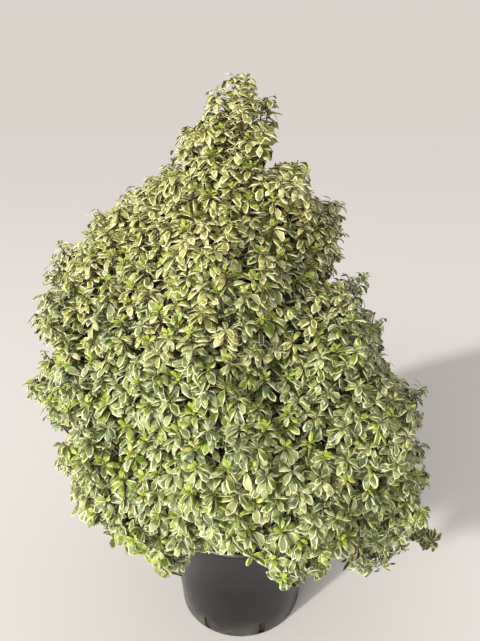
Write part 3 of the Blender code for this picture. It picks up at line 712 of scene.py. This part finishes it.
def leavesOfShoot(run, leaves, chance, whorls, shaded):
    start, middle, end = run
    place, turn = 1.0, chance.uniform(0.0, 2.0 * math.pi)
    for age in range(whorls):
        bud = bend(start, middle, end, place)
        below = bend(start, middle, end, max(place - whorl["probe"], 0.0))
        addWhorl(leaves, bud, (bud - below).normalized(), turn, age, chance, shaded)
        turn += whorl["turn"]
        speed = (bud - below).length / whorl["probe"]
        place -= chance.uniform(*whorl["spacing"]) * (1.0 if age else whorl["tipSpacing"]) / speed
        if place < whorl["bare"]:
            break


def leafMesh(name, leaves):
    # every leaf's corners and faces in one go, form by form
    corners, loops, sizes, slots = [], [], [], []
    made = 0
    for number, (shape, faces, parts) in enumerate(allForms):
        chosen = [leaf for leaf in leaves if leaf[0] == number]
        if not chosen:
            continue
        palettes, lengths, places, turns = [np.array(column) for column in list(zip(*chosen))[1:]]
        turned = np.einsum("vk,nkj->nvj", shape, turns) * lengths[:, None, None]
        corners.append((turned + places[:, None, :]).reshape(-1, 3))
        flat = np.array([corner for face in faces for corner in face])
        offsets = made + np.arange(len(chosen)) * len(shape)
        loops.append((flat[None, :] + offsets[:, None]).ravel())
        sizes.append(np.tile([len(face) for face in faces], len(chosen)))
        slots.append(palettes[:, parts].ravel())
        made += len(shape) * len(chosen)
    corners, loops, sizes, slots = [np.concatenate(column) for column in (corners, loops, sizes, slots)]
    starts = np.concatenate([[0], np.cumsum(sizes)[:-1]])
    mesh = bpy.data.meshes.new(name)
    mesh.vertices.add(len(corners))
    mesh.vertices.foreach_set("co", corners.ravel())
    mesh.loops.add(len(loops))
    mesh.loops.foreach_set("vertex_index", loops)
    mesh.polygons.add(len(sizes))
    mesh.polygons.foreach_set("loop_start", starts)
    mesh.polygons.foreach_set("material_index", slots)
    mesh.update(calc_edges=True)
    mesh.shade_smooth()
    mesh.validate()
    return mesh, int((sizes - 2).sum())


# Twigs: slim limbs of few sides, their last stretch young and reddish

def twigRings(run, baseRadius):
    rings = shoot["rings"]
    points = [bend(*run, ring / rings) for ring in range(rings + 1)]
    radii = [baseRadius + (shoot["tipRadius"] - baseRadius) * ring / rings for ring in range(rings + 1)]
    return points, radii


def addTwig(corners, faces, slots, points, radii, sides, youngFrom):
    first = None
    base = len(corners)
    for index, (point, radius) in enumerate(zip(points, radii)):
        heading = (points[min(index + 1, len(points) - 1)] - points[max(index - 1, 0)]).normalized()
        first, second = across(heading, first)
        for side in range(sides):
            angle = 2.0 * math.pi * side / sides
            corners.append(point + (first * math.cos(angle) + second * math.sin(angle)) * radius)
        if index:
            low, high = base + (index - 1) * sides, base + index * sides
            for side in range(sides):
                after = (side + 1) % sides
                faces.append((low + side, high + side, high + after, low + after))
                slots.append(1 if index > youngFrom else 0)
    top = base + (len(points) - 1) * sides
    faces.append(tuple(range(top + sides - 1, top - 1, -1)))
    faces.append(tuple(range(base, base + sides)))
    slots += [1 if youngFrom < len(points) else 0, 0]


# The boughs, and the side shoots from them and the trunk that fill the shaded middle of the crown
bough = {"rootRadius": 0.0080, "tipRadius": 0.0042, "straight": 0.016, "bend": 0.38, "leastShare": 0.75,
         "neck": 0.9, "collar": 0.35, "collarReach": 0.06, "stemSunk": 0.004, "stemRadii": (0.0038, 0.0030),
         "stemSides": 7}
inner = {"boughShares": (0.42, 0.56, 0.70, 0.84), "boughReach": (0.06, 0.13), "slip": 0.05,
         "sweep": (-0.3, 0.8), "trunkFrom": 0.46, "trunkTo": 1.22, "trunkStep": 0.017,
         "trunkReach": (0.10, 0.20), "whorls": 4, "climb": (0.2, 1.1), "lean": 0.5}


def boughRun(mass):
    straight = mass["root"] - mass["heading"] * bough["straight"]
    start = trunkPoint(mass["fork"])
    return start, straight - mass["heading"] * (mass["root"] - start).length * bough["bend"], straight


def addSideShoot(base, outward, reach, chance, mass=None):
    tip = base + (outward + up * chance.uniform(*inner["climb"])).normalized() * reach
    axis = (outward * inner["lean"] + up).normalized()
    home = mass or min(masses, key=lambda near: (near["centre"] - tip).length)
    addShoot(home, base, tip, axis, shaded=True, whorls=inner["whorls"])


def addSideShoots():
    chance = random.Random(seed + 41)
    for mass in masses:
        if not mass["bough"]:
            continue
        run = boughRun(mass)
        for share in inner["boughShares"]:
            for side in (-1.0, 1.0):
                place = bend(*run, share + chance.uniform(-inner["slip"], inner["slip"]))
                sweep = mass["outward"] * chance.uniform(*inner["sweep"])
                sideways = (mass["outward"].cross(up) * side + sweep).normalized()
                addSideShoot(place, sideways, chance.uniform(*inner["boughReach"]), chance, mass)
    height, turn = inner["trunkFrom"], 0.0
    while height < inner["trunkTo"]:
        sideways = Vector((math.cos(turn), math.sin(turn), 0.0))
        addSideShoot(trunkPoint(height), sideways, chance.uniform(*inner["trunkReach"]), chance)
        height += inner["trunkStep"]
        turn += goldenAngle


for mass in masses:
    growShoots(mass)
addLeaders()
addSideShoots()
fillValleys()
twigParts = [], [], []
shootCount = 0
for mass in masses:
    chance = random.Random(mass["seed"] + 29)
    start, end = mass["root"] - mass["heading"] * bough["stemSunk"], mass["hub"]
    stem = [start, start.lerp(end, 0.5), end]
    addTwig(*twigParts, stem, (bough["tipRadius"], *bough["stemRadii"]), bough["stemSides"], len(stem))
    for grown in mass["shoots"]:
        if any(inOpening(bend(*grown["run"], share)) for share in shoot["seen"]):
            continue
        shootCount += 1
        whorls = grown.get("whorls", mass["tier"]["whorls"] + chance.choice((-1, 0, 0, 1)))
        leavesOfShoot(grown["run"], mass["leaves"], chance, whorls, grown.get("shaded", False))
        points, radii = twigRings(grown["run"], shoot[grown.get("thick", "baseRadius")])
        youngFrom = round(shoot["rings"] * (1.0 - shoot["youngShare"]))
        addTwig(*twigParts, points, radii, shoot["sides"], youngFrom)
print("shoots:", shootCount, "leaves:", sum(len(mass["leaves"]) for mass in masses))

# Leaf pieces by parts of the crown, each under 200,000 triangles: the tiers, and the masses' numbers in them
leafGroups = {
    "skirt_right": (("skirt",), (1, 2, 3, 8)), "skirt_left": (("skirt",), (4, 5, 6, 7)),
    "lower_right": (("lower",), (1, 2, 6, 7)), "lower_left": (("lower",), (3, 4, 5)),
    "middle_right": (("middle",), (2, 3, 4)), "middle_left": (("middle",), (1, 5, 6)),
    "upper": (("upper",), (1, 2, 3, 4)), "top": (("shoulder", "neck", "tip"), (1, 2, 3, 4)),
}
leafTriangles = 0
for group, (tierNames, numbers) in leafGroups.items():
    chosen = [mass for mass in masses if mass["tier"]["name"] in tierNames and mass["number"] in numbers]
    mesh, triangles = leafMesh("leaves_" + group, [leaf for mass in chosen for leaf in mass["leaves"]])
    leafTriangles += triangles
    finishPiece("leaves_" + group, mesh, leafMaterials, [mass["name"] for mass in chosen], "foliage")
    print(group, "leaf triangles:", triangles)

twigMesh = bpy.data.meshes.new("twigs")
twigMesh.from_pydata(twigParts[0], [], twigParts[1])
twigMesh.polygons.foreach_set("material_index", twigParts[2])
finishPiece("twigs", twigMesh, (twigBark, youngBark), (), "bark", 60.0)
print("leaf triangles:", leafTriangles, "twig faces:", len(twigParts[1]))


# Trunk and boughs, with the bark's relief

limb = {"trunk": (150, 26), "bough": (40, 14), "probe": 0.01, "relief": 0.09, "grain": (150.0, 150.0, 45.0)}


def tubeAlong(bm, pointAt, radiusAt, rings, sides):
    # a straight ring is drawn up ring by ring, then laid along the limb
    corners = bmesh.ops.create_circle(bm, cap_ends=True, radius=1.0, segments=sides)["verts"]
    ringEdges = list({edge for corner in corners for edge in corner.link_edges})
    layers = [corners]
    for ring in range(rings):
        grown = bmesh.ops.extrude_edge_only(bm, edges=ringEdges)["geom"]
        corners = [item for item in grown if isinstance(item, bmesh.types.BMVert)]
        ringEdges = [item for item in grown if isinstance(item, bmesh.types.BMEdge)
                     and all(corner in corners for corner in item.verts)]
        bmesh.ops.translate(bm, verts=corners, vec=(0.0, 0.0, 1.0))
        layers.append(corners)
    bmesh.ops.contextual_create(bm, geom=ringEdges)
    first = None
    for ring, layer in enumerate(layers):
        share = ring / rings
        point, radius = pointAt(share), radiusAt(share)
        heading = pointAt(min(share + limb["probe"], 1.0)) - pointAt(max(share - limb["probe"], 0.0))
        first, second = across(heading.normalized(), first)
        for corner in layer:
            flat = first * corner.co.x + second * corner.co.y
            place = point + flat * radius
            grain = Vector([part * scale for part, scale in zip(place, limb["grain"])])
            corner.co = place + flat * radius * limb["relief"] * noise.fractal(grain, 1.0, 2.0, 4)


def finishBark(name, bm, nodes):
    bmesh.ops.recalc_face_normals(bm, faces=bm.faces)
    newPiece(name, bm, (trunkBark,), nodes, "bark", 180.0)


def addBough(bm, mass):
    start, middle, straight = boughRun(mass)
    thick = bough["rootRadius"] * (bough["leastShare"] + (mass["root"] - start).length)
    neck = bough["neck"]

    def pointAt(share):
        if share < neck:
            return bend(start, middle, straight, share / neck)
        return straight.lerp(mass["root"], (share - neck) / (1.0 - neck))

    def radiusAt(share):
        collar = bough["collar"] * math.exp(-share / bough["collarReach"])
        return (thick + (bough["tipRadius"] - thick) * share) * (1.0 + collar)

    tubeAlong(bm, pointAt, radiusAt, *limb["bough"])


bm = bmesh.new()
trunkHeight = trunk["tip"] - trunk["foot"]
tubeAlong(bm, lambda share: trunkPoint(trunk["foot"] + trunkHeight * share),
          lambda share: trunkRadius(trunk["foot"] + trunkHeight * share), *limb["trunk"])
finishBark("trunk_bark", bm, ("trunk",))

bm = bmesh.new()
boughMasses = [mass for mass in masses if mass["bough"]]
for mass in boughMasses:
    addBough(bm, mass)
finishBark("bough_bark", bm, [mass["bough"] for mass in boughMasses])
print("limbs made:", 1 + len(boughMasses))


# Pot: a spun wall with a rolled lip, cut through by its drainage slots

# The foot's corner goes out from the base and up, the lip's rolled top in from the rim and down from the
# top. Under the lip the wall turns out: how far out, how far short of the rim, and a near and a far height.
pot = {"rim": 0.200, "height": 0.306, "base": 0.170, "wall": 0.0035, "lipHeight": 0.014, "lipProud": 0.0035,
       "foot": ((-0.010, 0.0), (-0.004, 0.0), (-0.0012, 0.0012), (0.0002, 0.004)),
       "lip": ((0.0, 0.0042), (0.0004, 0.0022), (0.0015, 0.0008), (0.0032, 0.0), (0.0052, 0.0),
               (0.0064, 0.0006), (0.0070, 0.0020)),
       "underLip": (0.0016, 0.0008, 0.0006, 0.002), "rings": (0.055, 0.15, 0.262), "insideRing": 0.15,
       "floorRise": 0.001, "band": 0.264, "bandProud": 0.0009, "segments": 128, "sharpFrom": 32.0,
       "slots": 7, "firstSlot": -122.0, "slotWidth": 0.016, "slotBottom": 0.006, "slotTop": 0.043,
       "slotDepth": 0.030, "slotCorner": 0.0025}


def potWall(height):
    return pot["base"] + (pot["rim"] - pot["lipProud"] - pot["base"]) * height / pot["height"]


def spinUp(profile, segments):
    bm = bmesh.new()
    corners = [bm.verts.new((radius, 0.0, height)) for radius, height in profile]
    edges = [bm.edges.new(pair) for pair in zip(corners, corners[1:])]
    bmesh.ops.spin(bm, geom=corners + edges, cent=(0.0, 0.0, 0.0), axis=(0.0, 0.0, 1.0),
                   angle=2.0 * math.pi, steps=segments, use_merge=True)
    bmesh.ops.remove_doubles(bm, verts=bm.verts, dist=0.00001)
    bmesh.ops.recalc_face_normals(bm, faces=bm.faces)
    return bm


rim, top, base, wall = [pot[key] for key in ("rim", "height", "base", "wall")]
lipFoot = top - pot["lipHeight"]
turnOut, short, near, far = pot["underLip"]
potProfile = [(0.0, 0.0)] + [(base + out, rise) for out, rise in pot["foot"]]
potProfile += [(potWall(height), height) for height in pot["rings"]]
potProfile += [(potWall(height) + pot["bandProud"], height) for height in (pot["band"], lipFoot - far)]
potProfile += [(potWall(lipFoot) + turnOut, lipFoot - near), (rim - short, lipFoot + near)]
potProfile += [(rim, lipFoot + far)] + [(rim - inward, top - down) for inward, down in pot["lip"]]
potProfile += [(potWall(pot["insideRing"]) - wall, pot["insideRing"])]
potProfile += [(base - wall, wall + pot["floorRise"]), (0.0, wall)]
potShell = newPiece("pot_shell", spinUp(potProfile, pot["segments"]), (potPlastic,), ("pot",), "pot_plastic")
cutters = bpy.data.collections.new("slotCutters")
bpy.context.scene.collection.children.link(cutters)
tall = pot["slotTop"] - pot["slotBottom"]
for number in range(pot["slots"]):
    bm = bmesh.new()
    bmesh.ops.create_cube(bm, size=1.0)
    bmesh.ops.scale(bm, vec=(pot["slotDepth"], pot["slotWidth"], tall), verts=bm.verts)
    through = [edge for edge in bm.edges if abs(edge.verts[0].co.x - edge.verts[1].co.x) > 0.01]
    bmesh.ops.bevel(bm, geom=through, offset=pot["slotCorner"], offset_type="OFFSET", affect="EDGES",
                    segments=3, profile=0.5, material=-1)
    turn = Matrix.Rotation(math.radians(pot["firstSlot"] + 360.0 * number / pot["slots"]), 4, "Z")
    place = turn @ Matrix.Translation((base, 0.0, pot["slotBottom"] + tall * 0.5))
    bmesh.ops.transform(bm, matrix=place, verts=bm.verts)
    cutters.objects.link(bpy.data.objects.new("cutter", meshOf("cutter", bm)))
cut = potShell.modifiers.new("slots", "BOOLEAN")
cut.operation, cut.solver = "DIFFERENCE", "EXACT"
cut.operand_type, cut.collection = "COLLECTION", cutters
bpy.context.view_layer.update()
cutMesh = bpy.data.meshes.new_from_object(potShell.evaluated_get(bpy.context.evaluated_depsgraph_get()))
potShell.modifiers.clear()
potShell.data = cutMesh
for cutter in list(cutters.objects):
    bpy.data.objects.remove(cutter)
bpy.data.collections.remove(cutters)
cutMesh.shade_smooth()
cutMesh.set_sharp_from_angle(angle=math.radians(pot["sharpFrom"]))
print("pot made:", len(cutMesh.polygons), "faces")


# Compost: a crumbly top with chips of bark on it

soil = {"gap": 0.0011, "rings": 26, "segments": 110, "sides": (0.15, 0.05), "lift": 0.0006, "rough": 0.0042,
        "roughScale": 28.0, "crumbs": 0.45, "crumbScale": 130.0, "most": 0.006, "flatShare": 0.8}
chip = {"count": 620, "within": (0.03, 0.93), "length": (0.006, 0.018), "width": (0.35, 0.75),
        "thickness": (0.12, 0.26), "tip": 0.5, "roll": 0.4, "proud": 0.05, "ragged": 0.12}
inside = wall + soil["gap"]
topRadius = potWall(soilTop) - inside
soilProfile = [(topRadius * ring / soil["rings"], soilTop) for ring in range(soil["rings"] + 1)]
soilProfile += [(potWall(height) - inside, height) for height in soil["sides"]]
soilProfile += [(base - inside, wall + soil["lift"]), (0.0, wall + soil["lift"])]


def soilHeight(x, y):
    if math.hypot(x, y) < trunkRadius(trunk["foot"]) * soil["flatShare"]:
        return 0.0
    coarse, fine = soil["roughScale"], soil["crumbScale"]
    rough = noise.fractal(Vector((x * coarse, y * coarse, 3.0)), 1.0, 2.0, 4) * soil["rough"]
    crumbs = noise.fractal(Vector((x * fine, y * fine, 7.0)), 1.0, 2.0, 3) * soil["rough"] * soil["crumbs"]
    return max(min(rough + crumbs, soil["most"]), -soil["most"])


bm = spinUp(soilProfile, soil["segments"])
for corner in bm.verts:
    if corner.co.z > soilTop - 0.001:
        corner.co.z += soilHeight(corner.co.x, corner.co.y)
newPiece("compost_fill", bm, (compost,), ("soil",), "compost", 50.0)

chance = random.Random(seed + 3)
bm = bmesh.new()
for number in range(chip["count"]):
    far = math.sqrt(chance.uniform(*chip["within"])) * topRadius
    turn = chance.uniform(0.0, 2.0 * math.pi)
    x, y = far * math.cos(turn), far * math.sin(turn)
    long = chance.uniform(*chip["length"])
    size = (long, long * chance.uniform(*chip["width"]), long * chance.uniform(*chip["thickness"]), 1.0)
    lean = Matrix.Rotation(chance.uniform(-chip["tip"], chip["tip"]), 4, "X")
    lean = lean @ Matrix.Rotation(chance.uniform(-chip["roll"], chip["roll"]), 4, "Y")
    place = Matrix.Translation((x, y, soilTop + soilHeight(x, y) + long * chip["proud"]))
    place = place @ Matrix.Rotation(chance.uniform(0.0, 6.28), 4, "Z") @ lean @ Matrix.Diagonal(size)
    for corner in bmesh.ops.create_cube(bm, size=1.0, matrix=place)["verts"]:
        corner.co += Vector([chance.uniform(-chip["ragged"], chip["ragged"]) * long for part in range(3)])
newPiece("bark_chips", bm, (compost,), (), "compost")
print("compost and chips made")


# Floor, light and camera

stage = {"floor": (0.600, 0.592, 0.602), "roughness": 0.85, "size": 60.0, "below": -0.0005,
         "air": (0.88, 0.82, 0.76), "airStrength": 0.80, "sunTurn": (65.0, 0.0, -46.0), "sunPower": 3.4,
         "sunSoftness": 4.0, "sunColour": (1.0, 0.945, 0.875), "fillPlace": (-4.0, -6.4, 3.0),
         "fillSize": 6.0, "fillPower": 600.0, "fillColour": (1.0, 0.95, 0.84), "fillAim": (0.0, 0.0, 0.7)}
bm = bmesh.new()
bmesh.ops.create_grid(bm, x_segments=2, y_segments=2, size=stage["size"])
bmesh.ops.translate(bm, verts=bm.verts, vec=(0.0, 0.0, stage["below"]))
floor = newPiece("floor", bm, (newMaterial("paleFloor", stage["floor"], stage["roughness"])[0],))

world = bpy.data.worlds.new("studio")
bpy.context.scene.world = world
world.use_nodes = True
air = world.node_tree.nodes["Background"]
air.inputs[0].default_value = rgba(stage["air"])
air.inputs[1].default_value = stage["airStrength"]


def standUp(name, data, **settings):
    for key, value in settings.items():
        setattr(data, key, value)
    made = bpy.data.objects.new(name, data)
    bpy.context.collection.objects.link(made)
    return made


sun = standUp("sun", bpy.data.lights.new("sun", "SUN"), energy=stage["sunPower"], color=stage["sunColour"],
              angle=math.radians(stage["sunSoftness"]))
sun.rotation_euler = [math.radians(turn) for turn in stage["sunTurn"]]
softbox = standUp("fill", bpy.data.lights.new("fill", "AREA"), shape="DISK", size=stage["fillSize"],
                  energy=stage["fillPower"], color=stage["fillColour"])
softbox.location = stage["fillPlace"]
softbox.rotation_euler = (Vector(stage["fillAim"]) - softbox.location).to_track_quat("-Z", "Y").to_euler()
camera = standUp("camera", bpy.data.cameras.new("camera"), lens=view["lens"], sensor_width=view["sensor"],
                 clip_start=view["clip"][0], clip_end=view["clip"][1])
camera.location = view["place"]
camera.rotation_euler = (math.radians(90.0 - view["pitch"]), 0.0, 0.0)
bpy.context.scene.camera = camera
bpy.context.scene.view_settings.view_transform = "Standard"

print("scene ready")
